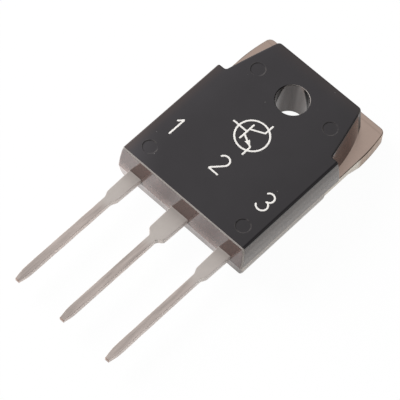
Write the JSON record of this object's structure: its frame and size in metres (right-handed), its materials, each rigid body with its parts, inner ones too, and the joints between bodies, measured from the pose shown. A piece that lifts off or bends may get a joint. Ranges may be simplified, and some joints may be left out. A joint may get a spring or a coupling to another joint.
{
  "type": "power transistor",
  "caption": "Through-hole power transistor: moulded plastic body with a screw hole on a metal heat spreader tab, with flat straight leads for a circuit board.",
  "frame": {"origin": "on the screw hole's axis, in the plane of the mounting face", "axes": "+X across the leads from base to emitter, +Y from the leads towards the tab, +Z out of the marked face"},
  "size_m": [0.0152, 0.0343, 0.0045],
  "materials": {
    "moulding_compound": "black epoxy, matte marked face, polished drafted sides",
    "plated_spreader": "nickel-plated copper, satin, warm tone",
    "tinned_lead": "solder-dipped copper, satin",
    "silicon": "polished silicon with metallised top",
    "solder": "dull solder",
    "bond_wire": "drawn aluminium wire"
  },
  "bodies": {
    "root": {"moulded_body": "moulding_compound", "heat_spreader": "plated_spreader", "base_lead": "tinned_lead", "emitter_lead": "tinned_lead", "transistor_die": "silicon", "die_solder": "solder", "base_wire": "bond_wire", "emitter_wire_1": "bond_wire", "emitter_wire_2": "bond_wire"}
  },
  "joints": []
}
